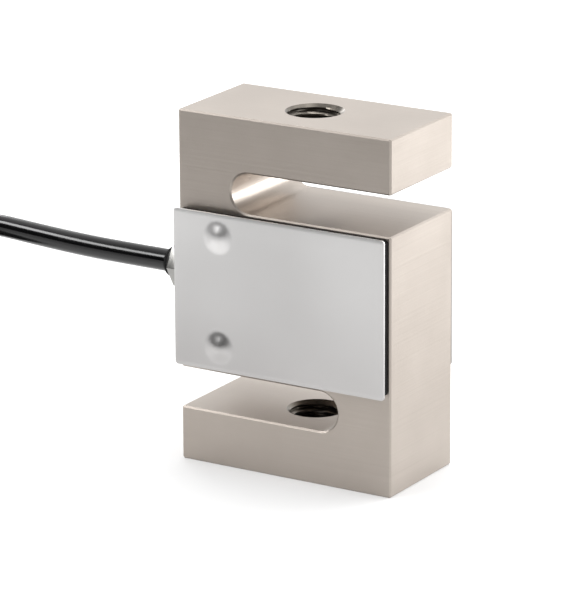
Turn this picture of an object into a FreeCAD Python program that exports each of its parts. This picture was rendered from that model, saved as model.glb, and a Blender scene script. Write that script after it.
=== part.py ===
"""S-type load cell: a one-piece S-shaped spring element with two threaded holes, its covered
gauge pockets, and the cable that leaves its left side.

Frame: origin at the centre of the bottom face, under the load axis. X runs along the wide face
towards the closed end of the lower slot, Y to the rear, Z up the load axis. Millimetres.
"""
import FreeCAD, Part
import Sketcher
import math
import os

Vector = FreeCAD.Vector

# ---------------------------------------------------------------- driving dimensions
SIZES = {
    # spring element
    "body_width": 50.8,
    "body_depth": 25.4,
    "body_height": 76.2,
    "arm_thickness": 11.7,
    "slot_height": 8.7,
    "slot_wall": 12.7,
    "edge_chamfer": 0.35,
    "thread_bore": 10.2,
    "thread_mouth": 12.4,
    # gauge pockets, one in each wide face, with the web between them
    "pocket_centre_height": 38.7,
    "pocket_width": 32.0,
    "pocket_height": 24.0,
    "pocket_corner": 4.0,
    "web_thickness": 4.0,
    "cable_bore": 8.0,
    # covers and the rubber they sit on
    "cover_side_gap": 0.15,
    "cover_height": 34.0,
    "cover_thickness": 0.5,
    "cover_corner": 0.7,
    "dome_offset": 14.4,
    "dome_pitch": 23.8,
    "dome_height": 1.0,
    "dome_foot": 3.1,
    "gasket_thickness": 2.0,
    "rear_film_thickness": 0.2,
    "gasket_inset": 0.5,
    "gasket_rim": 5.0,
    "gasket_corner": 2.0,
    # strain gauges and wiring in the pockets
    "gauge_length": 8.0,
    "gauge_breadth": 5.0,
    "gauge_thickness": 0.1,
    "gauge_spacing": 10.4,
    "board_width": 4.0,
    "board_length": 18.0,
    "board_thickness": 1.2,
    "board_wall_gap": 1.3,
    "solder_diameter": 1.8,
    "solder_height": 0.5,
    "solder_pitch": 4.2,
    "core_diameter": 0.9,
    "core_side_gap": 0.054,
    "core_start_gap": 0.4,
    "core_turn_gap": 0.2,
    "tab_width": 3.0,
    "tab_length": 12.0,
    "tab_thickness": 0.8,
    "resistor_width": 3.2,
    "resistor_length": 5.0,
    "resistor_thickness": 1.0,
    "resistor_spacing": 12.0,
    "resistor_offset": 12.6,
    # cable gland
    "gland_shank": 6.0,
    "gland_flats": 9.0,
    "gland_flange": 2.6,
    "gland_ring_thickness": 0.8,
    "gland_ring_diameter": 9.6,
    "gland_sleeve_length": 3.2,
    "gland_sleeve_diameter": 7.2,
    "nut_length": 6.6,
    "nut_hex_length": 4.9,
    "nut_mouth": 6.6,
    "nut_lip": 0.9,
    "seal_proud": 0.7,
    "seal_nose": 5.4,
    # cable, folded and tied
    "cable_diameter": 4.8,
    "jacket_setback": 3.0,
    "hank_near_end": 104.0,
    "hank_length": 96.0,
    "hank_fold": 14.4,
    "hank_layer": 5.3,
    "hank_layers": 7,
    "hank_lane": 4.9,
    "tie_width": 4.8,
    "tie_thickness": 1.2,
    "tie_corner": 2.5,
    "tie_head": 6.0,
    "tie_head_height": 4.0,
    "sleeve_diameter": 5.4,
    "sleeve_length": 12.0,
    "sleeve_step_gap": 1.0,
    "lead_diameter": 1.2,
    "lead_spread": 0.85,
    "lead_start_gap": 0.3,
}

doc = FreeCAD.newDocument("SLoadCell")
sheet = doc.addObject("Spreadsheet::Sheet", "Sizes")
for row, (alias, number) in enumerate(SIZES.items(), 1):
    sheet.set(f"A{row}", alias)
    sheet.set(f"B{row}", str(number))
    sheet.setAlias(f"B{row}", alias)
doc.recompute()


class Size:
    """A length: the expression that ties it to the sheet, and its present value."""

    def __init__(self, text, value):
        self.text = text
        self.value = value

    def join(self, sign, other, value):
        return Size(f"({self.text} {sign} {as_size(other).text})", value)

    def __add__(self, other):
        return self.join("+", other, self.value + as_size(other).value)

    def __sub__(self, other):
        return self.join("-", other, self.value - as_size(other).value)

    def __mul__(self, other):
        return self.join("*", other, self.value * as_size(other).value)

    def __truediv__(self, other):
        return self.join("/", other, self.value / as_size(other).value)

    def __neg__(self):
        return Size(f"(-1 * {self.text})", -self.value)


def as_size(number):
    return number if isinstance(number, Size) else Size(repr(float(number)), float(number))


def root(size):
    return Size(f"sqrt({size.text})", math.sqrt(size.value))


def of(alias):
    return Size(f"Sizes.{alias}", float(sheet.get(alias)))


ZERO = as_size(0)
OVERRUN = as_size(2)
# the gap left where a tube's end, which is never quite square to its neighbour, meets it
END_GAP = 0.06
WIRE_SIDES = 8
# the punch's flat nose, and the foot of the hollow it leaves, as shares of the dome's foot
HOLLOW_FLAT, HOLLOW_FOOT = 0.2, 0.88


# ---------------------------------------------------------------- ways of making a piece
def bind(thing, **lengths):
    """Ties properties of a feature to the sheet; "__" stands for the dot in a property path."""
    for name, length in lengths.items():
        thing.setExpression(name.replace("__", "."), as_size(length).text)


def put(thing, x=ZERO, y=ZERO, z=ZERO):
    bind(thing, Placement__Base__x=x, Placement__Base__y=y, Placement__Base__z=z)


def new_body(label):
    body = doc.addObject("PartDesign::Body", label)
    body.Label = label
    return body


def new_sketch(body, name, plane, across=ZERO, up=ZERO, out=ZERO):
    """A sketch on one of the body's origin planes, its own origin moved across, up and out."""
    sketch = body.newObject("Sketcher::SketchObject", name)
    base = [f for f in body.Origin.OriginFeatures if f.Role == plane][0]
    sketch.AttachmentSupport = [(base, "")]
    sketch.MapMode = "FlatFace"
    bind(
        sketch,
        AttachmentOffset__Base__x=across,
        AttachmentOffset__Base__y=up,
        AttachmentOffset__Base__z=out,
    )
    return sketch


def pin(sketch, geometry, end, x=None, y=None):
    """Fixes a point of the sketch at sizes from its origin."""
    for kind, length in (("DistanceX", x), ("DistanceY", y)):
        if length is None:
            continue
        index = sketch.addConstraint(
            Sketcher.Constraint(kind, -1, 1, geometry, end, length.value)
        )
        sketch.setExpression(f"Constraints[{index}]", length.text)


def outline(sketch, steps):
    """A closed outline. Each step ends at (x, y); one with a centre is an arc, "left" if it
    turns left on the way and "right" if it turns right."""
    points = [(as_size(step[0]), as_size(step[1])) for step in steps]
    ends = []
    for number, step in enumerate(steps):
        (x0, y0), (x1, y1) = points[number - 1], points[number]
        start, stop = Vector(x0.value, y0.value), Vector(x1.value, y1.value)
        if len(step) == 2:
            geometry = sketch.addGeometry(Part.LineSegment(start, stop), False)
            ends.append((geometry, 1, 2))
            continue
        cx, cy, turn = as_size(step[2]), as_size(step[3]), step[4]
        first, last = (start, stop) if turn == "left" else (stop, start)
        centre = Vector(cx.value, cy.value)
        angles = [math.atan2((p - centre).y, (p - centre).x) for p in (first, last)]
        circle = Part.Circle(centre, Vector(0, 0, 1), (start - centre).Length)
        geometry = sketch.addGeometry(Part.ArcOfCircle(circle, *angles), False)
        ends.append((geometry, 1, 2) if turn == "left" else (geometry, 2, 1))
        upright = abs(start.x - stop.x) < abs(start.y - stop.y)
        pin(sketch, geometry, 3, x=cx if upright else None, y=None if upright else cy)
    for number, (geometry, begin, finish) in enumerate(ends):
        before, _, before_end = ends[number - 1]
        sketch.addConstraint(
            Sketcher.Constraint("Coincident", before, before_end, geometry, begin)
        )
        pin(sketch, geometry, finish, *points[number])


def rectangle(sketch, width, height, corner=None):
    """A rectangle about the sketch's origin, with rounded corners where a corner is given."""
    w, h = width / 2, height / 2
    if corner is None:
        outline(sketch, [(-w, -h), (w, -h), (w, h), (-w, h)])
        return
    a, b = w - corner, h - corner
    outline(
        sketch,
        [
            (a, -h),
            (w, -b, a, -b, "left"),
            (w, b),
            (a, h, a, b, "left"),
            (-a, h),
            (-w, b, -a, b, "left"),
            (-w, -b),
            (-a, -h, -a, -b, "left"),
        ],
    )


def ring(sketch, radius):
    """A circle about the sketch's origin."""
    circle = Part.Circle(Vector(0, 0, 0), Vector(0, 0, 1), as_size(radius).value)
    geometry = sketch.addGeometry(circle, False)
    sketch.addConstraint(Sketcher.Constraint("Coincident", geometry, 3, -1, 1))
    index = sketch.addConstraint(Sketcher.Constraint("Radius", geometry, as_size(radius).value))
    sketch.setExpression(f"Constraints[{index}]", as_size(radius).text)


def hexagon(sketch, flats):
    """A hexagon about the sketch's origin with two flats up and down."""
    half, corner = flats / 2, flats / math.sqrt(3)
    outline(
        sketch,
        [
            (corner, ZERO),
            (corner / 2, half),
            (-corner / 2, half),
            (-corner, ZERO),
            (-corner / 2, -half),
            (corner / 2, -half),
        ],
    )


def extrude(body, kind, sketch, length, both_ways=False, backwards=False):
    feature = body.newObject(f"PartDesign::{kind}", f"{sketch.Name}{kind}")
    feature.Profile = sketch
    if both_ways:
        feature.SideType = "Symmetric"
    feature.Reversed = backwards
    bind(feature, Length=length)
    doc.recompute()
    return feature


def spin(body, kind, sketch, axis):
    feature = body.newObject(f"PartDesign::{kind}", f"{sketch.Name}{kind}")
    feature.Profile = sketch
    feature.ReferenceAxis = (sketch, [axis])
    feature.Angle = 360
    doc.recompute()
    return feature


def smooth_path(points):
    """Straight runs joined by tangent arcs, each as large as 0.45 of its shorter run allows.
    Returns the wire and the arcs' radii."""
    edges, radii, here = [], [], points[0]
    for before, corner, after in zip(points, points[1:], points[2:]):
        coming, going = corner - before, after - corner
        half_turn = coming.getAngle(going) / 2
        tangent = 0.45 * min(coming.Length, going.Length)
        radii.append(tangent / math.tan(half_turn))
        start = corner - coming.normalize() * tangent
        stop = corner + going.normalize() * tangent
        inward = (start + stop) * 0.5 - corner
        depth = radii[-1] / math.cos(half_turn) - radii[-1]
        middle = corner + inward.normalize() * depth
        edges += [Part.LineSegment(here, start).toShape(), Part.Arc(start, middle, stop).toShape()]
        here = stop
    edges.append(Part.LineSegment(here, points[-1]).toShape())
    return Part.Wire(edges), radii


def tube(points, diameter, sides=None):
    """A tube along a smooth path, its volume checked against section times length. A thin wire
    is given a number of flat sides in place of a round section."""
    wire, radii = smooth_path([Vector(*p) for p in points])
    heading = wire.Edges[0].tangentAt(wire.Edges[0].FirstParameter)
    start, radius = Vector(*points[0]), diameter / 2
    if sides is None:
        section = Part.Wire(Part.makeCircle(radius, start, heading))
        area = math.pi * radius**2
    else:
        turn = FreeCAD.Rotation(Vector(0, 0, 1), heading)
        angles = [2 * math.pi * side / sides for side in range(sides + 1)]
        spokes = [Vector(math.cos(a), math.sin(a), 0) * radius for a in angles]
        section = Part.makePolygon([start + turn.multVec(spoke) for spoke in spokes])
        area = sides / 2 * radius**2 * math.sin(2 * math.pi / sides)
    solid = wire.makePipeShell([section], True, sides is None)
    ratio = solid.Volume / (area * wire.Length)
    assert abs(ratio - 1) < 0.01, "a swept tube lost its section"
    return solid, wire.Length, radii


def free_shape(label, shape):
    piece = doc.addObject("Part::Feature", label)
    piece.Label = label
    piece.Shape = shape
    return piece


# ---------------------------------------------------------------- places worked out once
half_width = of("body_width") / 2
half_depth = of("body_depth") / 2
height = of("body_height")
arm = of("arm_thickness")
slot_radius = of("slot_height") / 2
middle_height = of("pocket_centre_height")
web_face = of("web_thickness") / 2
pocket_side = of("pocket_width") / 2
cover_width = of("body_width") - of("cover_side_gap") * 2
pieces = []


# ---------------------------------------------------------------- spring element
def make_spring_body():
    """One block of steel, milled from both sides into an S. The arms carry the load threads,
    and pockets in both wide faces leave a thin web that the gauges are bonded to."""
    body = new_body("spring_body")
    block = new_sketch(body, "Block", "XZ_Plane", up=height / 2)
    rectangle(block, of("body_width"), height)
    extrude(body, "Pad", block, of("body_depth"), both_ways=True)

    slot_end = half_width - of("slot_wall") - slot_radius
    for name, side, level in (
        ("UpperSlot", -1, height - arm - slot_radius),
        ("LowerSlot", 1, arm + slot_radius),
    ):
        slot = new_sketch(body, name, "XZ_Plane", up=level)
        mouth = (half_width + OVERRUN) * -side
        centre = slot_end * side
        outline(
            slot,
            [
                (mouth, slot_radius * side),
                (mouth, -slot_radius * side),
                (centre, -slot_radius * side),
                (centre, slot_radius * side, centre, ZERO, "left"),
            ],
        )
        extrude(body, "Pocket", slot, of("body_depth") + OVERRUN, both_ways=True)

    milled = body.Tip
    edge_break = body.newObject("PartDesign::Chamfer", "EdgeBreak")
    edge_break.Base = (milled, sharp_edges(milled.Shape))
    bind(edge_break, Size=of("edge_chamfer"))
    doc.recompute()

    # the lower thread starts square at the bottom face, every other mouth has a lead-in
    bore, mouth = of("thread_bore") / 2, of("thread_mouth") / 2
    lead_in = mouth - bore
    lower = new_sketch(body, "LowerThread", "XZ_Plane")
    inner_mouth = [(bore, arm - lead_in), (mouth, arm), (ZERO, arm)]
    outline(lower, [(ZERO, -OVERRUN), (bore, -OVERRUN)] + inner_mouth)
    spin(body, "Groove", lower, "V_Axis")
    upper = new_sketch(body, "UpperThread", "XZ_Plane", up=height)
    inner_mouth = [(bore, lead_in - arm), (mouth, -arm), (ZERO, -arm)]
    outline(upper, [(ZERO, OVERRUN), (mouth + OVERRUN, OVERRUN), (bore, -lead_in)] + inner_mouth)
    spin(body, "Groove", upper, "V_Axis")

    for name, side, behind in (("FrontPocket", 1, False), ("RearPocket", -1, True)):
        pocket = new_sketch(body, name, "XZ_Plane", up=middle_height, out=half_depth * side)
        rectangle(pocket, of("pocket_width"), of("pocket_height"), of("pocket_corner"))
        extrude(body, "Pocket", pocket, half_depth - web_face, backwards=behind)

    passage = new_sketch(body, "CableBore", "YZ_Plane", up=middle_height, out=-half_width)
    ring(passage, of("cable_bore") / 2)
    extrude(body, "Pocket", passage, half_width - pocket_side, backwards=True)
    pieces.append(body)


def sharp_edges(shape):
    """The names of the edges where two faces meet at an angle, leaving out smooth seams."""
    names = []
    for number, edge in enumerate(shape.Edges, 1):
        faces = shape.ancestorsOfType(edge, Part.Face)
        middle = edge.valueAt((edge.FirstParameter + edge.LastParameter) / 2)
        normals = [f.normalAt(*f.Surface.parameter(middle)) for f in faces]
        if len(normals) == 2 and normals[0].cross(normals[1]).Length > 0.1:
            names.append(f"Edge{number}")
    return names


# ---------------------------------------------------------------- covers and what they sit on
def make_cover(label, side, stand_off):
    """A thin satin plate over a gauge pocket, stood off from the wide face."""
    out = (half_depth + stand_off + of("cover_thickness")) * -side
    cover = new_body(f"{label}_cover")
    plate = new_sketch(cover, f"{label}Plate", "XZ_Plane", up=middle_height, out=out)
    rectangle(plate, cover_width, of("cover_height"), of("cover_corner"))
    extrude(cover, "Pad", plate, of("cover_thickness"), backwards=side < 0)
    pieces.append(cover)
    return cover


def press_domes(cover, side, stand_off):
    """Two soft domes pressed outwards in a plate, near the cable side. Each skin is raised
    first, then the hollow that the punch leaves behind it is taken away."""
    foot, rise, skin = of("dome_foot"), of("dome_height"), of("cover_thickness")
    radius = (foot * foot + rise * rise) / (rise * 2)
    centre = skin + rise - radius
    bend = "right" if side < 0 else "left"
    for name, up in (("Lower", -1), ("Upper", 1)):
        place = {
            "across": (half_depth + stand_off) * side,
            "up": middle_height + of("dome_pitch") / 2 * up,
            "out": -of("dome_offset"),
        }
        dome = new_sketch(cover, f"{name}Dome", "YZ_Plane", **place)
        outline(
            dome,
            [
                (ZERO, ZERO),
                ((skin + rise) * side, ZERO),
                (skin * side, foot, centre * side, ZERO, bend),
                (ZERO, foot),
            ],
        )
        spin(cover, "Revolution", dome, "H_Axis")
        hollow = new_sketch(cover, f"{name}Hollow", "YZ_Plane", **place)
        outline(
            hollow,
            [
                (-OVERRUN * side, ZERO),
                (rise * side, ZERO),
                (rise * side, foot * HOLLOW_FLAT),
                (ZERO, foot * HOLLOW_FOOT),
                (-OVERRUN * side, foot * HOLLOW_FOOT),
            ],
        )
        spin(cover, "Groove", hollow, "H_Axis")


def make_frame(label, side, thickness):
    """The frame between a cover and the wide face, open over the pocket."""
    seat = new_body(label)
    frame = new_sketch(seat, f"{label}Face", "XZ_Plane", up=middle_height, out=half_depth * -side)
    width, tall = (size - of("gasket_inset") * 2 for size in (cover_width, of("cover_height")))
    rectangle(frame, width, tall, of("cover_corner"))
    rim = of("gasket_rim") * 2
    rectangle(frame, width - rim, tall - rim, of("gasket_corner"))
    extrude(seat, "Pad", frame, thickness, backwards=side > 0)
    pieces.append(seat)


def make_covers():
    """The front cover is domed and sits on a thick rubber frame. The rear one is plain, and is
    bonded down with a thin film."""
    rubber, film = of("gasket_thickness"), of("rear_film_thickness")
    press_domes(make_cover("front", -1, rubber), -1, rubber)
    make_frame("front_gasket", -1, rubber)
    make_cover("rear", 1, film)
    make_frame("rear_bond_film", 1, film)


# ---------------------------------------------------------------- strain gauges and wiring
# the four cores, and their places up the terminal board, counted from its middle
CORES = {"white": -1.5, "green": -0.5, "black": 0.5, "red": 1.5}


def block(label, x, y, z, width, depth, tall, turn=0.0):
    """A small rectangular piece about (x, z), its nearer wide face at y, turned about Y."""
    box = doc.addObject("Part::Box", label)
    box.Label = label
    bind(box, Length=width, Width=depth, Height=tall)
    angle = math.radians(turn)
    across = width / 2 * math.cos(angle) + tall / 2 * math.sin(angle)
    up = tall / 2 * math.cos(angle) - width / 2 * math.sin(angle)
    box.Placement.Rotation = FreeCAD.Rotation(Vector(0, 1, 0), turn)
    put(box, x - across, y, z - up)
    return box


def make_gauges():
    """Two shear gauges on each side of the web, one along each diagonal."""
    thick = of("gauge_thickness")
    for label, side in (("front", -1), ("rear", 1)):
        near = web_face * side - (thick if side < 0 else ZERO)
        for name, way in (("tension", -1), ("compression", 1)):
            pieces.append(
                block(
                    f"{label}_{name}_gauge",
                    of("gauge_spacing") / 2 * way,
                    near,
                    middle_height,
                    of("gauge_length"),
                    thick,
                    of("gauge_breadth"),
                    turn=45.0 * way,
                )
            )


def make_wiring():
    """The terminal board beside the cable bore, its solder joints, the trimming resistors, and
    the small strip that the rear gauges are wired to."""
    board_x = -pocket_side + of("board_wall_gap") + of("board_width") / 2
    board_top = web_face + of("board_thickness")
    pieces.append(
        block(
            "terminal_board",
            board_x,
            -board_top,
            middle_height,
            of("board_width"),
            of("board_thickness"),
            of("board_length"),
        )
    )
    joint = of("solder_diameter") / 2
    joints = []
    for place in CORES.values():
        dot = doc.addObject("Part::Cylinder", "SolderDot")
        bind(dot, Radius=joint, Height=of("solder_height"))
        dot.Placement.Rotation = FreeCAD.Rotation(Vector(1, 0, 0), 90)
        put(dot, board_x, -board_top, middle_height + of("solder_pitch") * place)
        joints.append(dot)
    doc.recompute()
    group = doc.addObject("Part::Compound", "solder_joints")
    group.Label = "solder_joints"
    group.Links = joints
    pieces.append(group)

    for name, way in (("zero_trim_resistor", 1), ("span_trim_resistor", -1)):
        pieces.append(
            block(
                name,
                of("resistor_offset"),
                -web_face - of("resistor_thickness"),
                middle_height + of("resistor_spacing") / 2 * way,
                of("resistor_width"),
                of("resistor_thickness"),
                of("resistor_length"),
            )
        )
    pieces.append(
        block(
            "rear_terminal_strip",
            -pocket_side + of("board_wall_gap") + of("tab_width") / 2,
            web_face,
            middle_height,
            of("tab_width"),
            of("tab_thickness"),
            of("tab_length"),
        )
    )


# ---------------------------------------------------------------- cable gland
def make_gland():
    """A small metal gland screwed into the left side: a hexagon with a threaded shank, a rubber
    ring under it, a nut turned down at its nose, and the rubber insert that grips the cable."""
    shank = of("cable_bore") / 2
    ring_far = half_width + of("gland_ring_thickness")
    flange_far = ring_far + of("gland_flange")
    nut_far = flange_far + of("nut_length")
    cable = of("cable_diameter") / 2

    sealing = new_body("gland_ring")
    disc = new_sketch(sealing, "RingFace", "YZ_Plane", up=middle_height, out=-half_width)
    ring(disc, of("gland_ring_diameter") / 2)
    ring(disc, shank)
    extrude(sealing, "Pad", disc, of("gland_ring_thickness"), backwards=True)
    pieces.append(sealing)

    stem = new_body("gland_body")
    face = new_sketch(stem, "FlangeFace", "YZ_Plane", up=middle_height, out=-ring_far)
    hexagon(face, of("gland_flats"))
    extrude(stem, "Pad", face, of("gland_flange"), backwards=True)
    screw = new_sketch(stem, "Shank", "YZ_Plane", up=middle_height, out=-ring_far)
    ring(screw, shank)
    extrude(stem, "Pad", screw, of("gland_shank"))
    neck = new_sketch(stem, "Sleeve", "YZ_Plane", up=middle_height, out=-flange_far)
    ring(neck, of("gland_sleeve_diameter") / 2)
    extrude(stem, "Pad", neck, of("gland_sleeve_length"), backwards=True)
    hole = new_sketch(stem, "CableHole", "XZ_Plane", up=middle_height)
    begin, finish = -flange_far - of("gland_sleeve_length"), -half_width + of("gland_shank")
    outline(hole, [(begin - OVERRUN, ZERO), (begin - OVERRUN, cable), (finish, cable), (finish, ZERO)])
    spin(stem, "Groove", hole, "H_Axis")
    pieces.append(stem)

    nut = new_body("gland_nut")
    base = new_sketch(nut, "NutFace", "YZ_Plane", up=middle_height, out=-flange_far)
    hexagon(base, of("gland_flats"))
    extrude(nut, "Pad", base, of("nut_hex_length"), backwards=True)
    dome = new_sketch(nut, "NutDome", "XZ_Plane", up=middle_height)
    across, mouth = of("gland_flats") / 2, of("nut_mouth") / 2
    shoulder = flange_far + of("nut_hex_length")
    crown = nut_far - shoulder
    outline(
        dome,
        [
            (-shoulder, ZERO),
            (-nut_far, ZERO),
            (-nut_far, across - crown),
            (-shoulder, across),
        ],
    )
    spin(nut, "Revolution", dome, "H_Axis")
    inside = new_sketch(nut, "NutBore", "XZ_Plane", up=middle_height)
    seat = flange_far + of("gland_sleeve_length")
    wide = of("gland_sleeve_diameter") / 2
    lip = nut_far - of("nut_lip")
    outline(
        inside,
        [
            (-flange_far, ZERO),
            (-nut_far - OVERRUN, ZERO),
            (-nut_far - OVERRUN, mouth),
            (-lip, mouth),
            (-lip, wide),
            (-flange_far, wide),
        ],
    )
    spin(nut, "Groove", inside, "H_Axis")
    pieces.append(nut)

    insert = new_body("gland_insert")
    section = new_sketch(insert, "InsertSection", "XZ_Plane", up=middle_height)
    nose = nut_far + of("seal_proud")
    outline(
        section,
        [
            (-seat, cable),
            (-seat, wide),
            (-lip, wide),
            (-lip, mouth),
            (-nut_far, mouth),
            (-nose, of("seal_nose") / 2),
            (-nose, cable),
        ],
    )
    spin(insert, "Revolution", section, "H_Axis")
    pieces.append(insert)


# ---------------------------------------------------------------- cable, folded and tied
HANK_CENTRE = -(of("hank_near_end") + of("hank_length") / 2)
LANE = of("hank_lane")
jacket_start = pocket_side + of("jacket_setback")
layer = of("hank_layer")
cable_size = of("cable_diameter")
last_layer = of("hank_layers") - 1
top_level = cable_size / 2 + layer * last_layer
lower_top = top_level - layer + cable_size / 2
upper_top = top_level + cable_size / 2
step_face = HANK_CENTRE + of("tie_width") / 2 + of("sleeve_step_gap")
hank_y = LANE - cable_size * 1.5


def dog_bone(sketch, waist_half, end_radius, half_length, cut=None):
    """Two rounded ends drawn in to a waist by arcs that meet them smoothly. A cut leaves only
    what lies beyond it, on the far side."""
    c = half_length - end_radius
    bend = (c * c + waist_half * waist_half - end_radius * end_radius) / (
        (end_radius - waist_half) * 2
    )
    tall = waist_half + bend
    share = end_radius / (bend + end_radius)
    along, up = c * share, tall * share
    far_fold = [
        (-half_length, ZERO, -c, ZERO, "right"),
        (-c + along, up, -c, ZERO, "right"),
    ]
    if cut is None:
        near_fold = [
            (c - along, up, ZERO, tall, "left"),
            (half_length, ZERO, c, ZERO, "right"),
            (c - along, -up, c, ZERO, "right"),
        ]
        outline(sketch, near_fold + [(-c + along, -up, ZERO, -tall, "left")] + far_fold)
        return
    rise = tall - root(bend * bend - cut * cut)
    face = [(cut, -rise), (-c + along, -up, ZERO, -tall, "left")]
    outline(sketch, face + far_fold + [(cut, rise, ZERO, tall, "left")])


def make_cable():
    """The free cable: level out of the gland, then down on to its own tied hank. Its jacket
    starts inside the cable bore."""
    level, low = middle_height.value, top_level.value
    points = [
        (-jacket_start.value, 0.0, level),
        (-46.0, 0.0, level),
        (-59.0, 0.6, level),
        (-72.0, 2.4, level),
        (-83.5, 4.6, level),
        (-95.0, 5.2, low + 0.2),
        (-112.0, 5.4, low),
        (-130.0, 4.6, low),
        (step_face.value + END_GAP, LANE.value, low),
    ]
    solid, length, radii = tube(points, cable_size.value)
    print("cable tube", round(length, 1), "mm, radii", [round(r, 1) for r in radii])
    pieces.append(free_shape("cable", solid))


def make_cores():
    """The four cores leave the jacket side by side, come forward past the web, and fan out to
    their solder joints."""
    size = of("core_diameter").value
    spacing = size + of("core_side_gap").value
    out = (web_face + of("board_thickness") + of("solder_height")).value + size / 2 + END_GAP
    joint_x = (of("board_wall_gap") + of("board_width") / 2 - pocket_side).value
    corner_x = (of("board_wall_gap") - pocket_side - of("core_turn_gap")).value
    start_x = (of("core_start_gap") - jacket_start).value
    for colour, place in CORES.items():
        points = [
            (start_x, 0.0, middle_height.value + spacing * place),
            (corner_x, -out, middle_height.value + spacing * place),
            (joint_x, -out, (middle_height + of("solder_pitch") * place).value),
        ]
        solid, length, radii = tube(points, size, WIRE_SIDES)
        print("core", colour, round(length, 1), "mm, radii", [round(r, 1) for r in radii])
        pieces.append(free_shape(f"core_{colour}", solid))


def make_hank():
    hank = new_body("cable_hank")
    waist = cable_size * 2
    end = of("hank_fold") + cable_size * 1.5
    half = of("hank_length") / 2
    lower = new_sketch(hank, "LowerTurns", "XY_Plane", across=HANK_CENTRE, up=hank_y)
    dog_bone(lower, waist, end, half)
    extrude(hank, "Pad", lower, lower_top)
    upper = new_sketch(hank, "TopTurns", "XY_Plane", across=HANK_CENTRE, up=hank_y)
    dog_bone(upper, waist, end, half, cut=step_face - HANK_CENTRE)
    extrude(hank, "Pad", upper, upper_top)
    thick, wide = of("tie_thickness"), of("tie_width")
    inner_w = waist * 2
    inner_h = upper_top - thick * 2
    centre_z = thick + inner_h / 2
    groove = new_sketch(hank, "TieGroove", "YZ_Plane", across=hank_y, up=centre_z, out=HANK_CENTRE)
    rectangle(groove, inner_w * 2, inner_h * 2)
    rectangle(groove, inner_w, inner_h, of("tie_corner"))
    extrude(hank, "Pocket", groove, wide, both_ways=True)
    pieces.append(hank)

    tie = new_body("hank_tie")
    band = new_sketch(tie, "TieBand", "YZ_Plane", across=hank_y, up=centre_z, out=HANK_CENTRE)
    rectangle(band, inner_w + thick * 2, inner_h + thick * 2, of("tie_corner") + thick)
    rectangle(band, inner_w, inner_h, of("tie_corner"))
    extrude(tie, "Pad", band, wide, both_ways=True)
    head = new_sketch(tie, "TieHead", "XY_Plane", across=HANK_CENTRE, up=hank_y, out=upper_top)
    rectangle(head, of("tie_head"), of("tie_head"))
    extrude(tie, "Pad", head, of("tie_head_height") - thick)
    pieces.append(tie)


def make_bare_end():
    """The far end: the jacket stops under a shrunk sleeve, and the four cores lie on the
    hank."""
    y = hank_y - cable_size / 2
    sleeve = doc.addObject("Part::Cylinder", "end_sleeve")
    sleeve.Label = "end_sleeve"
    bind(sleeve, Radius=of("sleeve_diameter") / 2, Height=of("sleeve_length"))
    sleeve.Placement.Rotation = FreeCAD.Rotation(Vector(0, 1, 0), 90)
    put(sleeve, step_face, y, lower_top + of("sleeve_diameter") / 2)
    pieces.append(sleeve)

    start = (step_face + of("sleeve_length") + of("lead_start_gap")).value
    z = (lower_top + of("sleeve_diameter") / 2).value
    rest = (lower_top + of("lead_diameter") / 2).value
    off = of("lead_spread").value
    size = of("lead_diameter").value
    lay = {
        "lead_red": ((-1, 1), (-9.5, -11.5), 25.0),
        "lead_black": ((-1, -1), (-7.5, -8.6), 27.0),
        "lead_green": ((1, -1), (-5.0, -5.2), 28.0),
        "lead_white": ((1, 1), (-2.6, -1.8), 26.0),
    }
    for label, ((side, up), (knee, end), reach) in lay.items():
        points = [
            (start, y.value + off * side, z + off * up),
            (start + reach / 2, knee, rest),
            (start + reach, end, rest),
        ]
        solid, length, radii = tube(points, size, WIRE_SIDES)
        print(label, round(length, 1), "mm, radii", [round(r, 1) for r in radii])
        pieces.append(free_shape(label, solid))


make_spring_body()
make_covers()
make_gauges()
make_wiring()
make_gland()
make_cable()
make_cores()
make_hank()
make_bare_end()


# ---------------------------------------------------------------- check and write
def check(thing):
    assert not {"Invalid", "Error"} & set(thing.State), f"{thing.Label} did not build"


doc.recompute()
for thing in doc.Objects:
    check(thing)
os.makedirs("parts", exist_ok=True)
for piece in pieces:
    assert not piece.Shape.isNull() and piece.Shape.isValid(), f"{piece.Label} has no sound shape"
for piece in pieces:
    piece.Shape.exportStep(f"parts/{piece.Label}.step")
    print(piece.Label, round(piece.Shape.Volume, 1), len(piece.Shape.Solids), piece.Shape.BoundBox)
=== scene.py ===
"""An S-type load cell with its cable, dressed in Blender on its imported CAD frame. Metres."""
import math

import bpy
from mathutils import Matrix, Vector


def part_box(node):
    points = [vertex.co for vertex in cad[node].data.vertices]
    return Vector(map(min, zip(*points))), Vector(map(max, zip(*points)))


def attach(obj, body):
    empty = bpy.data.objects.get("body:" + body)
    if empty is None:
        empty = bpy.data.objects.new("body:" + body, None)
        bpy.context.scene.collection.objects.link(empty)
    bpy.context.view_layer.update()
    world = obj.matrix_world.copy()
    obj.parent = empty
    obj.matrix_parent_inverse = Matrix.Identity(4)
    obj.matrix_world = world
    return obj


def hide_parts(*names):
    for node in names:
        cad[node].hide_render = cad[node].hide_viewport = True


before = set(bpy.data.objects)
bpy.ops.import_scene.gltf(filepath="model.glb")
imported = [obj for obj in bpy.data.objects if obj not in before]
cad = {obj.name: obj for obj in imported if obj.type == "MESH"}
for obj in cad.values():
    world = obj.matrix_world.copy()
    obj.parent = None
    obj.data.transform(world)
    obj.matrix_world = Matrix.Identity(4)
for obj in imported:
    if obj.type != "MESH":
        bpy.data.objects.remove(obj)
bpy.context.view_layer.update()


# ---------------------------------------------------------------- camera
# A long lens a little above the part, turned to see its wide front face and its right side.
bpy.ops.object.select_all(action="DESELECT")
bpy.ops.object.camera_add(
    location=(0.436165, -0.721964, 0.292590),
    rotation=(math.radians(73.049), math.radians(0.350), math.radians(31.516)),
)
camera = bpy.context.object
camera.data.lens = 253.716
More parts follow.
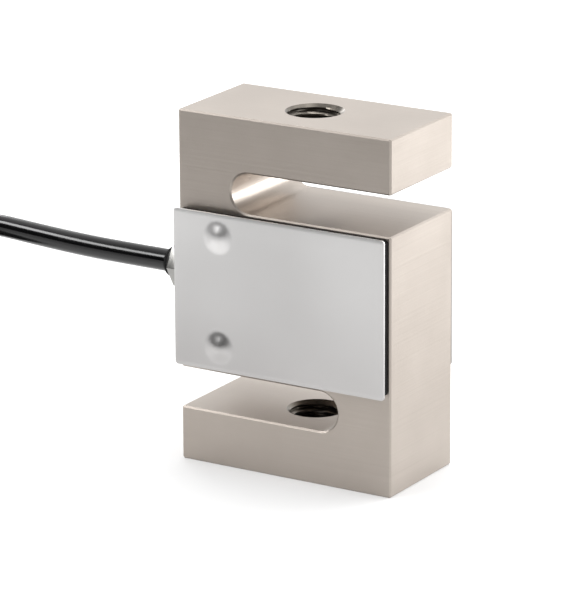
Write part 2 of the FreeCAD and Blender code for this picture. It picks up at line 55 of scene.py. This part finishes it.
bpy.context.scene.camera = camera


# ---------------------------------------------------------------- cable and its hank
# Round shielded four-core cable, 4.8 mm across, with a glossy extruded black PVC jacket. It leaves
# the gland level and dips on to its own tied hank, which is two rows wide and seven layers high.
cable_size = 0.0048
# from inside the gland, over the drop, to the top of the hank
route = [
    (-0.0190, 0.0000, 0.0387),
    (-0.0460, 0.0000, 0.0387),
    (-0.0590, 0.0006, 0.0387),
    (-0.0720, 0.0024, 0.0387),
    (-0.0890, 0.0052, 0.0387),
    (-0.0985, 0.0056, 0.0346),
    (-0.1120, 0.0054, 0.0342),
    (-0.1300, 0.0046, 0.0342),
    (-0.1486, 0.0049, 0.0342),
]
# Each turn is a figure with two round folds and a waist between them: arcs about these centres.
hank_centre = Vector((-0.152, -0.0023, 0.0))
fold_centre, fold_radius, fold_turn = 0.0264, 0.0144, math.radians(277.8)
waist_centre, waist_radius, waist_turn = 0.02304, 0.02064, math.radians(97.8)
fold_steps, waist_steps = 8, 4
half_turn = fold_steps + waist_steps
# a smooth line runs a little inside its points, so these shares set them further out
fold_share, waist_share = 0.955, 0.978
layer, top_layer = 0.0053, 6
# the tie draws the layers together at the waist
pinch_reach, pinch_lift, pinch_drop = 0.009, 0.0012, 0.0004
# when the outer row changes row or layer within a turn, how long that takes, and where it all ends
change_start, row_change, layer_change = 10.5, 3.5, 4.5
steps_left_out = 14


def ease(share):
    """A smooth step from 0 to 1."""
    share = min(max(share, 0.0), 1.0)
    return share * share * (3 - 2 * share)


def winding(row, step, level):
    """A point of a turn, which runs through the far fold, the front waist, the near fold and the
    rear waist. Row 0 is the inner row, and level counts the layers from the table."""
    side = -1 if step < half_turn else 1
    along = step % half_turn
    if along < fold_steps:
        angle = (along + 0.5) / fold_steps * fold_turn - fold_turn / 2
        reach = (fold_radius + cable_size * row) / fold_share
        x = side * (fold_centre + reach * math.cos(angle))
        y = side * reach * math.sin(angle)
    else:
        angle = (along - fold_steps + 0.5) / waist_steps * waist_turn - waist_turn / 2
        reach = (waist_radius - cable_size * row) / waist_share
        x = -side * reach * math.sin(angle)
        y = side * (waist_centre - reach * math.cos(angle))
    pinch = math.exp(-((x / pinch_reach) ** 2)) * (pinch_lift - pinch_drop * level)
    return hank_centre + Vector((x, y, cable_size / 2 + layer * level + pinch))


# The outer row winds down from the top layer, and comes down a layer towards each near fold. On the
# table it crosses to the inner row, which winds up again and rises a layer at each far fold.
turns = []
crossing = top_layer * 2 * half_turn + change_start
for step in range((2 * top_layer + 1) * 2 * half_turn - steps_left_out):
    turn, place = divmod(step, 2 * half_turn)
    row = 1 - ease((step - crossing) / row_change)
    if row > 0:
        level = max(top_layer - turn - ease((place - change_start) / layer_change), 0)
    else:
        level = turn - top_layer - (1 - ease(place / fold_steps) if place < half_turn else 0)
    # wound by hand, so not quite even
    ripple = Vector((0.00022 * math.sin(1.7 * step), 0.0, 0.0001 * math.sin(2.3 * step)))
    turns.append(winding(row, place, level) + ripple * min(step / 4, 1))

bpy.ops.object.select_all(action="DESELECT")
curve = bpy.data.curves.new("cable_run", "CURVE")
cable = bpy.data.objects.new("cable_run", curve)
bpy.context.scene.collection.objects.link(cable)
curve.dimensions = "3D"
curve.bevel_depth = cable_size / 2
curve.bevel_resolution = 6
curve.resolution_u = 6
curve.use_fill_caps = True
# the end lies on the hank and runs into the sleeve
tail = [
    hank_centre + Vector(p)
    for p in (
        (0.0000, -0.0024, 0.0331),
        (0.0030, -0.0024, 0.0337),
        (0.0060, -0.0024, 0.0340),
        (0.0124, -0.0024, 0.0340),
    )
]
points = [Vector(p) for p in route] + turns + tail
line = curve.splines.new("NURBS")
line.points.add(len(points) - 1)
for point, target in zip(line.points, points):
    point.co = (*target, 1.0)
line.order_u = 3
line.use_endpoint_u = True


def linear(code):
    """The linear colour of an sRGB hex code."""
    channels = [int(code[i : i + 2], 16) / 255 for i in (1, 3, 5)]
    return [c / 12.92 if c <= 0.04045 else ((c + 0.055) / 1.055) ** 2.4 for c in channels] + [1.0]


def add(tree, kind, inputs, **settings):
    """Adds a node, sets its properties, and fills its sockets with values or other sockets."""
    made = tree.nodes.new("ShaderNode" + kind)
    for name, value in settings.items():
        setattr(made, name, value)
    for name, value in inputs.items():
        if isinstance(value, bpy.types.NodeSocket):
            tree.links.new(value, made.inputs[name])
        else:
            made.inputs[name].default_value = value
    return made


def new_finish(name, **constants):
    """A material with its constants set on the shader. Returns it, its tree, the shader and the
    object coordinates."""
    finish = bpy.data.materials.new(name)
    finish.use_nodes = True
    tree = finish.node_tree
    shader = tree.nodes["Principled BSDF"]
    for socket, value in constants.items():
        shader.inputs[socket.replace("_", " ")].default_value = value
    place = add(tree, "TexCoord", {}).outputs["Object"]
    return finish, tree, shader, place


def dress(piece, finish, slot, *nodes):
    """Gives a piece its finish, hangs it under the root and hides the CAD nodes it stands for."""
    piece.data.materials.clear()
    piece.data.materials.append(finish)
    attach(piece, "root")
    if nodes:
        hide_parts(*nodes)


# Extruded PVC: deep black, with a crisp streak of light along it and a faint orange-peel skin.
pvc, tree, shader, place = new_finish("glossy_black_extruded_pvc", Roughness=0.2, IOR=1.53)
pull = add(tree, "TexNoise", {"Vector": place, "Scale": 260.0, "Detail": 2.0})
shade = add(
    tree,
    "Mix",
    {"Factor": pull.outputs["Fac"], 6: linear("#040405"), 7: linear("#0A0A0B")},
    data_type="RGBA",
)
dull = add(tree, "MapRange", {"Value": pull.outputs["Fac"], "To Min": 0.10, "To Max": 0.20})
skin = add(tree, "TexNoise", {"Vector": place, "Scale": 900.0, "Detail": 3.0})
bump = add(tree, "Bump", {"Height": skin.outputs["Fac"], "Strength": 0.25, "Distance": 0.00004})
tree.links.new(shade.outputs[2], shader.inputs["Base Color"])
tree.links.new(dull.outputs[0], shader.inputs["Roughness"])
tree.links.new(bump.outputs[0], shader.inputs["Normal"])
dress(cable, pvc, "cable_jacket", "cable", "cable_hank")


# ---------------------------------------------------------------- spring element
# One block of alloy steel milled into an S and nickel plated. Two slots leave the arms, the arms
# carry tapped M12 threads, and every edge is broken with a fine chamfer.
thread_pitch, rings_a_pitch = 0.00175, 8
thread_minor, thread_depth = 0.0051, 0.00088
# faces this near the axis belong to a load thread, and those nearer still to its flanks
hole_reach, flank_reach = 0.0064, 0.00612
# faces that turn up or down by more than this are an arm's own top or bottom
upright_at_most, flank_at_most = 0.95, 0.9
arm, body_height, rim_left = 0.0117, 0.0762, 0.0001


def pick(piece, test):
    """Selects the faces whose centre and normal pass a test, and nothing else."""
    mesh = piece.data
    for group in (mesh.vertices, mesh.edges):
        for item in group:
            item.select = False
    for face in mesh.polygons:
        face.select = test(face.center, face.normal)


def edit(piece, mode="FACE"):
    """Opens a piece alone in edit mode."""
    bpy.ops.object.select_all(action="DESELECT")
    piece.select_set(True)
    bpy.context.view_layer.objects.active = piece
    bpy.ops.object.mode_set(mode="EDIT")
    bpy.ops.mesh.select_mode(type=mode)


def leave():
    """Back to object mode."""
    bpy.ops.object.mode_set(mode="OBJECT")


def copy_of(node, name):
    """A merged copy of a CAD node, to be worked further."""
    piece = cad[node].copy()
    piece.data = cad[node].data.copy()
    piece.name = piece.data.name = name
    piece.parent = None
    bpy.context.scene.collection.objects.link(piece)
    edit(piece)
    bpy.ops.mesh.select_all(action="SELECT")
    bpy.ops.mesh.remove_doubles(threshold=0.000002)
    if piece.data.has_custom_normals:
        bpy.ops.mesh.customdata_custom_splitnormals_clear()
    leave()
    return piece


def smooth(piece, angle):
    """Shades a piece smooth where its faces meet at less than an angle."""
    bpy.ops.object.select_all(action="DESELECT")
    piece.select_set(True)
    bpy.context.view_layer.objects.active = piece
    bpy.ops.object.shade_smooth_by_angle(angle=math.radians(angle))


element = copy_of("spring_body", "spring_element")


def in_hole(centre, normal, low, high):
    """Whether a face is on the wall of a load thread, between two heights."""
    radius = math.hypot(centre.x, centre.y)
    return radius < hole_reach and low <= centre.z <= high and abs(normal.z) < upright_at_most


for low, high in ((0.0, arm), (body_height - arm, body_height)):
    rings = int((high - low) / (thread_pitch / rings_a_pitch))
    for ring in range(1, rings):
        level = low + (high - low) * ring / rings
        pick(element, lambda c, n: in_hole(c, n, low, high))
        edit(element)
        bpy.ops.mesh.bisect(plane_co=(0, 0, level), plane_no=(0, 0, 1))
        leave()
    for vertex in element.data.vertices:
        radius = math.hypot(vertex.co.x, vertex.co.y)
        inside = low + rim_left < vertex.co.z < high - rim_left
        if radius < hole_reach and inside:
            turned = math.atan2(vertex.co.y, vertex.co.x) / (2 * math.pi)
            phase = (vertex.co.z / thread_pitch - turned) % 1.0
            ridge = 1 - abs(2 * phase - 1)
            # a flank between a flat crest and a flat root
            cut = thread_minor + thread_depth * ease(ridge * 1.3 - 0.15)
            stretch = max(radius, cut) / radius
            vertex.co.x *= stretch
            vertex.co.y *= stretch
smooth(element, 28)

# Matt nickel over milled steel: a warm grey sheen, broken by fine cutter lines that lie along each
# face (drawn coarser than real, so that they show) and by faint clouds in the plating.
nickel, tree, shader, place = new_finish("satin_nickel_on_milled_steel", Metallic=1.0, Roughness=0.42)
facing = add(tree, "NewGeometry", {})
upright = add(tree, "SeparateXYZ", {"Vector": facing.outputs["Normal"]})
level_face = add(tree, "Math", {0: upright.outputs["Z"]}, operation="ABSOLUTE")
lying = add(tree, "Math", {0: level_face.outputs[0], 1: 0.6}, operation="GREATER_THAN")
side_cut = add(tree, "Mapping", {"Vector": place, "Scale": (12.0, 12.0, 1800.0)})
top_cut = add(tree, "Mapping", {"Vector": place, "Scale": (12.0, 1800.0, 12.0)})
side_lines = add(tree, "TexNoise", {"Vector": side_cut.outputs[0], "Scale": 1.0, "Detail": 3.0})
top_lines = add(tree, "TexNoise", {"Vector": top_cut.outputs[0], "Scale": 1.0, "Detail": 3.0})
lines = add(
    tree,
    "Mix",
    {"Factor": lying.outputs[0], 2: side_lines.outputs["Fac"], 3: top_lines.outputs["Fac"]},
)
cloud = add(tree, "TexNoise", {"Vector": place, "Scale": 48.0, "Detail": 5.0})
tone = add(
    tree,
    "Mix",
    {"Factor": cloud.outputs["Fac"], 6: linear("#9A9188"), 7: linear("#CAC2BA")},
    data_type="RGBA",
)
tone = add(
    tree,
    "Mix",
    {"Factor": lines.outputs[0], 6: tone.outputs[2], 7: linear("#B2A9A1")},
    data_type="RGBA",
)
gloss = add(tree, "MapRange", {"Value": cloud.outputs["Fac"], "To Min": 0.36, "To Max": 0.48})
bump = add(tree, "Bump", {"Height": lines.outputs[0], "Strength": 0.8, "Distance": 0.00004})
tree.links.new(tone.outputs[2], shader.inputs["Base Color"])
tree.links.new(gloss.outputs[0], shader.inputs["Roughness"])
tree.links.new(bump.outputs[0], shader.inputs["Normal"])
dress(element, nickel, "nickel_plated_steel", "spring_body")

# The thread flanks are bare steel, cut after plating, painted darker than the plating as painted shade
# in the bore, and kept glossy.
bore_thread_shade, tree, shader, place = new_finish("bore_thread_painted_shade", Metallic=1.0, Roughness=0.3)
# a fine random mottle within the painted shade
film = add(tree, "TexNoise", {"Vector": place, "Scale": 600.0, "Detail": 3.0})
tone = add(
    tree,
    "Mix",
    {"Factor": film.outputs["Fac"], 6: linear("#5A554F"), 7: linear("#8A847C")},
    data_type="RGBA",
)
tree.links.new(tone.outputs[2], shader.inputs["Base Color"])
element.data.materials.append(bore_thread_shade)
# faces on the thread flanks take the painted shade
for face in element.data.polygons:
    from_axis = math.hypot(face.center.x, face.center.y)
    if from_axis < flank_reach and abs(face.normal.z) < flank_at_most:
        face.material_index = 1


# ---------------------------------------------------------------- covers
# Half-millimetre stainless sheet with a satin face, blanked to size. The front one has two soft
# domes pressed outwards near the cable side. The rear one is plain.
cover_width, cover_height, sheet = 0.0505, 0.0340, 0.0005
corner_radius = 0.0007
pocket_level = 0.0387
dome_skirt, dome_rise = 0.0038, 0.0010
# the sheet starts as squares of about 1 mm, halved twice round the domes, within these reaches
squares_along, squares_up = 50, 34
halved_within = (0.0045, 0.0040)
at_edge = 0.0001
dome_x, dome_pitch = -0.0144, 0.0238

# Satin stainless sheet: a neutral, soft sheen with no lines, in large soft blotches of tone, and painted
# lighter towards the top edge and darker towards the bottom: painted light and shade.
satin, tree, shader, place = new_finish("satin_stainless_sheet", Metallic=1.0, Roughness=0.45)
grain = add(tree, "TexNoise", {"Vector": place, "Scale": 2600.0, "Detail": 2.0})
cloud = add(tree, "TexNoise", {"Vector": place, "Scale": 26.0, "Detail": 1.5})
apart = add(tree, "SeparateXYZ", {"Vector": place})
# painted light and shade: the tone rises with height, lighter at the top edge and darker at the bottom,
# added to the blotches
painted_top_light = add(
    tree,
    "MapRange",
    {"Value": apart.outputs["Z"], "From Min": 0.022, "From Max": 0.052, "To Min": -0.35, "To Max": 0.45},
)
cloud = add(
    tree,
    "Math",
    {0: cloud.outputs["Fac"], 1: painted_top_light.outputs[0]},
    operation="ADD",
    use_clamp=True,
)
tone = add(
    tree,
    "Mix",
    {"Factor": cloud.outputs[0], 6: linear("#B6B4B3"), 7: linear("#E9E8E7")},
    data_type="RGBA",
)
gloss = add(tree, "MapRange", {"Value": cloud.outputs[0], "To Min": 0.32, "To Max": 0.40})
bump = add(tree, "Bump", {"Height": grain.outputs["Fac"], "Strength": 0.15, "Distance": 0.00002})
tree.links.new(tone.outputs[2], shader.inputs["Base Color"])
tree.links.new(gloss.outputs[0], shader.inputs["Roughness"])
tree.links.new(bump.outputs[0], shader.inputs["Normal"])


def round_edges(piece, width, segments, angle):
    """Rounds the edges of a piece that are sharper than an angle."""
    rim = piece.modifiers.new("rim", "BEVEL")
    rim.width = width
    rim.segments = segments
    rim.limit_method = "ANGLE"
    rim.angle_limit = math.radians(angle)
    bpy.ops.object.modifier_apply(modifier="rim")


def pressed(away):
    """How far the sheet stands out at a distance from a dome's centre: a soft bell."""
    if away > dome_skirt:
        return 0.0
    return dome_rise * (1 + math.cos(math.pi * away / dome_skirt)) / 2


for label, side, seat in (
    ("front", -1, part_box("front_gasket")[0][1]),
    ("rear", 1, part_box("rear_bond_film")[1][1]),
):
    bpy.ops.object.select_all(action="DESELECT")
    bpy.ops.mesh.primitive_grid_add(
        x_subdivisions=squares_along,
        y_subdivisions=squares_up,
        size=1.0,
        location=(0.0, seat, pocket_level),
        rotation=(side * math.radians(-90), 0.0, 0.0),
    )
    cover = bpy.context.object
    cover.name = cover.data.name = f"{label}_cover_plate"
    cover.scale = (cover_width, cover_height, 1.0)
    bpy.ops.object.transform_apply(location=True, rotation=True, scale=True)
    edit(cover, "VERT")
    bpy.ops.mesh.select_all(action="DESELECT")
    leave()
    for vertex in cover.data.vertices:
        from_middle = vertex.co - Vector((0.0, seat, pocket_level))
        at_end = abs(from_middle.x) > cover_width / 2 - at_edge
        vertex.select = at_end and abs(from_middle.z) > cover_height / 2 - at_edge
    edit(cover, "VERT")
    bpy.ops.mesh.bevel(offset=corner_radius, segments=4, affect="VERTICES")
    leave()
    if label == "front":
        domes = [Vector((dome_x, seat, pocket_level + dome_pitch / 2 * up)) for up in (-1, 1)]
        for reach in halved_within:
            pick(cover, lambda c, n: min((c - d).length for d in domes) < reach)
            edit(cover)
            bpy.ops.mesh.subdivide(number_cuts=1)
            leave()
        for vertex in cover.data.vertices:
            vertex.co.y += side * pressed(min((vertex.co - d).length for d in domes))
    wall = cover.modifiers.new("wall", "SOLIDIFY")
    wall.thickness = sheet
    wall.offset = 1.0
    bpy.ops.object.modifier_apply(modifier="wall")
    round_edges(cover, 0.00012, 2, 60)
    smooth(cover, 40)
    dress(cover, satin, "cover_sheet", f"{label}_cover")


# ---------------------------------------------------------------- gasket and bonding film
# A frame of soft black rubber, 2 mm thick, between the front cover and the steel. The rear cover is
# bonded down with a thin dark film instead.
# Moulded rubber: a dead black line round the cover, just grey enough to show its edge.
rubber, tree, shader, place = new_finish("matt_black_rubber", Roughness=0.8, Specular_IOR_Level=0.25)
dust = add(tree, "TexNoise", {"Vector": place, "Scale": 700.0, "Detail": 4.0})
tone = add(
    tree,
    "Mix",
    {"Factor": dust.outputs["Fac"], 6: linear("#060606"), 7: linear("#121212")},
    data_type="RGBA",
)
bump = add(tree, "Bump", {"Height": dust.outputs["Fac"], "Strength": 0.4, "Distance": 0.00005})
tree.links.new(tone.outputs[2], shader.inputs["Base Color"])
tree.links.new(bump.outputs[0], shader.inputs["Normal"])
gasket = copy_of("front_gasket", "front_gasket_frame")
round_edges(gasket, 0.00025, 3, 50)
smooth(gasket, 40)
dress(gasket, rubber, "black_gasket", "front_gasket")


# ---------------------------------------------------------------- cable gland
# Nickel-plated brass, turned from hexagon bar: a body screwed into the side over a rubber ring, and
# a nut that squeezes the moulded rubber insert round the cable.
# Nickel over turned brass: brighter than the steel, with turning rings about the cable's axis.
turned, tree, shader, place = new_finish("turned_nickel_on_brass", Metallic=1.0, Roughness=0.3)
rings_cut = add(tree, "Mapping", {"Vector": place, "Scale": (2600.0, 30.0, 30.0)})
rings = add(tree, "TexNoise", {"Vector": rings_cut.outputs[0], "Scale": 1.0, "Detail": 2.0})
tone = add(
    tree,
    "Mix",
    {"Factor": rings.outputs["Fac"], 6: linear("#8E8D8B"), 7: linear("#A6A5A2")},
    data_type="RGBA",
)
gloss = add(tree, "MapRange", {"Value": rings.outputs["Fac"], "To Min": 0.24, "To Max": 0.38})
bump = add(tree, "Bump", {"Height": rings.outputs["Fac"], "Strength": 0.3, "Distance": 0.00002})
tree.links.new(tone.outputs[2], shader.inputs["Base Color"])
tree.links.new(gloss.outputs[0], shader.inputs["Roughness"])
tree.links.new(bump.outputs[0], shader.inputs["Normal"])
for node, finish, slot, width in (
    ("gland_ring", rubber, "black_gasket", 0.0002),
    ("gland_body", turned, "gland_metal", 0.00018),
    ("gland_nut", turned, "gland_metal", 0.00018),
    ("gland_insert", rubber, "gland_rubber", 0.00025),
):
    piece = copy_of(node, f"{node}_turned" if finish is turned else f"{node}_moulded")
    round_edges(piece, width, 2, 35)
    smooth(piece, 35)
    dress(piece, finish, slot, node)


# ---------------------------------------------------------------- tie round the hank
# A black nylon cable tie, moulded in one piece. Its toothed strap passes through the square head
# and is cut off flush.
# Moulded nylon: a dull black with a patchy shine, against the glossy jacket.
nylon, tree, shader, place = new_finish("moulded_black_nylon", Roughness=0.5)
haze = add(tree, "TexNoise", {"Vector": place, "Scale": 500.0, "Detail": 3.0})
tone = add(
    tree,
    "Mix",
    {"Factor": haze.outputs["Fac"], 6: linear("#141415"), 7: linear("#262627")},
    data_type="RGBA",
)
gloss = add(tree, "MapRange", {"Value": haze.outputs["Fac"], "To Min": 0.4, "To Max": 0.6})
tree.links.new(tone.outputs[2], shader.inputs["Base Color"])
tree.links.new(gloss.outputs[0], shader.inputs["Roughness"])
tie = copy_of("hank_tie", "hank_tie_moulded")
round_edges(tie, 0.0003, 2, 40)
smooth(tie, 35)
dress(tie, nylon, "tie_plastic", "hank_tie")


# ---------------------------------------------------------------- bare end
# The far end is as it is supplied: the jacket stops under a black shrink sleeve, and four cores in
# coloured PVC lie on the hank, each stripped to a tinned, twisted tip.
# Shrunk polyolefin: matt black, slightly wrinkled over what is under it.
shrunk, tree, shader, place = new_finish("shrunk_black_sleeve", Roughness=0.55)
folds = add(tree, "TexNoise", {"Vector": place, "Scale": 350.0, "Detail": 3.0})
tone = add(
    tree,
    "Mix",
    {"Factor": folds.outputs["Fac"], 6: linear("#111112"), 7: linear("#222223")},
    data_type="RGBA",
)
bump = add(tree, "Bump", {"Height": folds.outputs["Fac"], "Strength": 0.5, "Distance": 0.0001})
tree.links.new(tone.outputs[2], shader.inputs["Base Color"])
tree.links.new(bump.outputs[0], shader.inputs["Normal"])
sleeve = copy_of("end_sleeve", "end_sleeve_shrunk")
round_edges(sleeve, 0.0005, 3, 50)
smooth(sleeve, 35)
dress(sleeve, shrunk, "sleeve_plastic", "end_sleeve")
on_cable = [tie, sleeve]

lead_size, tip_share = 0.0012, 0.6
lead_rest = 0.0319
bare, in_sleeve = 0.0045, 0.003
sleeve_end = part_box("end_sleeve")[1][0]
# where each core leaves the sleeve, how far across it lies at its knee and tip, and how far it goes
lead_run = {
    "red": ((-0.00555, 0.03485), (-0.0095, -0.0115), 0.025),
    "black": ((-0.00555, 0.03315), (-0.0075, -0.0086), 0.027),
    "green": ((-0.00385, 0.03315), (-0.0050, -0.0052), 0.028),
    "white": ((-0.00385, 0.03485), (-0.0026, -0.0018), 0.026),
}


def new_tube(name, points, size):
    """A round wire along a smooth line."""
    line = bpy.data.curves.new(name, "CURVE")
    line.dimensions = "3D"
    line.bevel_depth = size / 2
    line.bevel_resolution = 4
    line.use_fill_caps = True
    run = line.splines.new("NURBS")
    run.points.add(len(points) - 1)
    for point, target in zip(run.points, points):
        point.co = (*target, 1.0)
    run.order_u = min(3, len(points))
    run.use_endpoint_u = True
    piece = bpy.data.objects.new(name, line)
    bpy.context.scene.collection.objects.link(piece)
    return piece


# Tinned copper: bright grey strands with a visible twist.
tinned, tree, shader, place = new_finish("tinned_copper_strands", Metallic=1.0, Roughness=0.3)
twist = add(tree, "Mapping", {"Vector": place, "Scale": (900.0, 2600.0, 2600.0)})
strands = add(
    tree,
    "TexWave",
    {"Vector": twist.outputs[0], "Scale": 1.0, "Distortion": 1.0},
    bands_direction="DIAGONAL",
)
bump = add(tree, "Bump", {"Height": strands.outputs["Fac"], "Strength": 0.6, "Distance": 0.00005})
shader.inputs["Base Color"].default_value = linear("#C4C2BD")
tree.links.new(bump.outputs[0], shader.inputs["Normal"])

# Coloured PVC: plain, half-glossy and faintly mottled.
core_finish = {"red": "#B5171B", "black": "#18181A", "green": "#1C7A3A", "white": "#E9E8E3"}
for colour, code in core_finish.items():
    coat, tree, shader, place = new_finish(f"{colour}_pvc_core", Roughness=0.35)
    mottle = add(tree, "TexNoise", {"Vector": place, "Scale": 800.0, "Detail": 2.0})
    bright = linear(code)
    deep = [c * 0.8 for c in bright[:3]] + [1.0]
    tone = add(tree, "Mix", {"Factor": mottle.outputs["Fac"], 6: deep, 7: bright}, data_type="RGBA")
    tree.links.new(tone.outputs[2], shader.inputs["Base Color"])
    (start_y, start_z), (knee_y, tip_y), reach = lead_run[colour]
    run = [
        (sleeve_end - in_sleeve, start_y, start_z),
        (sleeve_end, start_y, start_z),
        (sleeve_end + reach / 2, knee_y, lead_rest),
        (sleeve_end + reach, tip_y, lead_rest),
    ]
    heading = (Vector(run[3]) - Vector(run[2])).normalized()
    bared = [Vector(run[3]) - heading * bare, Vector(run[3])]
    run[3] = tuple(bared[0])
    cover_run = new_tube(f"lead_{colour}_core", run, lead_size)
    dress(cover_run, coat, f"lead_{colour}_pvc", f"lead_{colour}")
    tip = new_tube(f"lead_{colour}_tinned_tip", bared, lead_size * tip_share)
    dress(tip, tinned, "solder")
    on_cable += [cover_run, tip]


# ---------------------------------------------------------------- gauges and wiring
# Under the covers: foil shear gauges on amber film, a glass-epoxy board with soldered joints, and
# wound trimming resistors.
def plain_finish(name, dark, light, scale, **constants):
    """A finish that only varies a little in tone."""
    finish, tree, shader, place = new_finish(name, **constants)
    fleck = add(tree, "TexNoise", {"Vector": place, "Scale": scale, "Detail": 3.0})
    tone = add(
        tree,
        "Mix",
        {"Factor": fleck.outputs["Fac"], 6: linear(dark), 7: linear(light)},
        data_type="RGBA",
    )
    tree.links.new(tone.outputs[2], shader.inputs["Base Color"])
    return finish


# Gauge: grey constantan grid lines on amber polyimide, drawn coarser than real so that they show.
film, tree, shader, place = new_finish("foil_grid_on_amber_film", Roughness=0.3)
lines = add(tree, "TexWave", {"Vector": place, "Scale": 900.0}, bands_direction="DIAGONAL")
foil = add(tree, "Math", {0: lines.outputs["Fac"], 1: 0.55}, operation="GREATER_THAN")
tone = add(
    tree,
    "Mix",
    {"Factor": foil.outputs[0], 6: linear("#C07A2A"), 7: linear("#A9A5A0")},
    data_type="RGBA",
)
tree.links.new(tone.outputs[2], shader.inputs["Base Color"])
tree.links.new(foil.outputs[0], shader.inputs["Metallic"])
# Glass-epoxy green, bright solder, and brown enamel over wound wire: each a plain, finely mottled tone.
laminate = plain_finish("green_glass_epoxy", "#0E4A24", "#17633A", 900.0, Roughness=0.4)
solder = plain_finish("bright_solder", "#B9BABD", "#D2D3D6", 1200.0, Metallic=1.0, Roughness=0.22)
enamel = plain_finish("brown_enamelled_winding", "#4A2A14", "#6E4222", 1800.0, Roughness=0.35)
inner = {
    "front_tension_gauge": film,
    "front_compression_gauge": film,
    "rear_tension_gauge": film,
    "rear_compression_gauge": film,
    "terminal_board": laminate,
    "rear_terminal_strip": laminate,
    "solder_joints": solder,
    "zero_trim_resistor": enamel,
    "span_trim_resistor": enamel,
    "rear_bond_film": rubber,
}
for colour in core_finish:
    inner[f"core_{colour}"] = bpy.data.materials[f"{colour}_pvc_core"]
for node, finish in inner.items():
    cad[node].data.materials.clear()
    cad[node].data.materials.append(finish)


# ---------------------------------------------------------------- floor, lights and world
# White paper under the part. Its glow is painted light: weaker in front of the part and stronger behind
# it, where the metal sees it in reflections. The paper turns grey in front of what the camera sees:
# painted shade. The room is bright behind the part and dim in front of it.
bpy.ops.object.select_all(action="DESELECT")
bpy.ops.mesh.primitive_plane_add(size=6.0, location=(0.0, 0.0, 0.0))
floor = bpy.context.object
floor.name = "floor"
paper = bpy.data.materials.new("white_studio_paper")
paper.use_nodes = True
tree = paper.node_tree
shader = tree.nodes["Principled BSDF"]
shader.inputs["Roughness"].default_value = 0.9
seen = add(tree, "LightPath", {})
shown = add(
    tree,
    "Math",
    {0: seen.outputs["Is Camera Ray"], 1: seen.outputs["Is Glossy Ray"]},
    operation="ADD",
)
shown = add(tree, "Math", {0: shown.outputs[0], 1: seen.outputs["Is Transmission Ray"]}, operation="ADD")
share = add(tree, "Math", {0: shown.outputs[0], 1: 0.27}, operation="MULTIPLY")
place = add(tree, "TexCoord", {}).outputs["Object"]
# painted light: the paper's glow is graded with place, weaker in front of the part and stronger behind
# it
back = add(tree, "VectorMath", {0: place, 1: (0.35, 0.94, 0.0)}, operation="DOT_PRODUCT")
painted_light_fade = add(
    tree,
    "MapRange",
    {"Value": back.outputs["Value"], "From Min": -0.28, "From Max": -0.04, "To Min": 0.8, "To Max": 1.1},
)
painted_light_rise = add(
    tree,
    "MapRange",
    {"Value": back.outputs["Value"], "From Min": 0.0, "From Max": 0.11, "To Max": 0.9},
)
painted_glow = add(tree, "Math", {0: painted_light_fade.outputs[0], 1: painted_light_rise.outputs[0]}, operation="ADD")
# painted shade: the paper turns grey in front of the part, beyond what the camera sees
near = add(tree, "MapRange", {"Value": back.outputs["Value"], "From Min": -0.16, "From Max": -0.07})
painted_shade_tone = add(
    tree,
    "Mix",
    {"Factor": near.outputs[0], 6: linear("#B8B8B8"), 7: linear("#F4F4F4")},
    data_type="RGBA",
)
tree.links.new(painted_shade_tone.outputs[2], shader.inputs["Base Color"])
white = add(tree, "Emission", {"Color": (1.0, 1.0, 1.0, 1.0), "Strength": painted_glow.outputs[0]})
both = add(tree, "MixShader", {0: share.outputs[0], 1: shader.outputs[0], 2: white.outputs[0]})
tree.links.new(both.outputs[0], tree.nodes["Material Output"].inputs["Surface"])
floor.data.materials.append(paper)


def lamp(name, place, target, width, height, power):
    """A soft rectangular lamp that faces a point."""
    bpy.ops.object.light_add(type="AREA", location=place)
    light = bpy.context.object
    light.name = name
    light.data.shape = "RECTANGLE"
    light.data.size = width
    light.data.size_y = height
    light.data.energy = power
    light.rotation_euler = (Vector(target) - Vector(place)).to_track_quat("-Z", "Y").to_euler()


lamp("back_right", (0.60, 0.95, 0.20), (0, 0, 0.04), 0.6, 0.36, 5.5)
lamp("back_left", (-1.00, 0.75, 0.38), (0, 0, 0.06), 0.5, 0.4, 2.4)
lamp("front_left", (-0.74, -0.64, 0.82), (0, 0, 0.04), 1.1, 0.3, 9.0)
lamp("overhead", (0.0, 0.30, 1.2), (0, 0, 0.0), 0.9, 0.9, 7.5)

world = bpy.data.worlds.new("studio")
bpy.context.scene.world = world
world.use_nodes = True
tree = world.node_tree
heading = add(tree, "TexCoord", {}).outputs["Generated"]
behind = add(tree, "VectorMath", {0: heading, 1: (0.30, 0.80, 0.45)}, operation="DOT_PRODUCT")
level = add(
    tree,
    "MapRange",
    {
        "Value": behind.outputs["Value"],
        "From Min": -0.35,
        "From Max": 0.75,
        "To Min": 0.03,
        "To Max": 1.3,
    },
)
room = tree.nodes["Background"]
room.inputs["Color"].default_value = (1.0, 1.0, 1.0, 1.0)
tree.links.new(level.outputs[0], room.inputs["Strength"])
bpy.context.scene.view_settings.view_transform = "Standard"
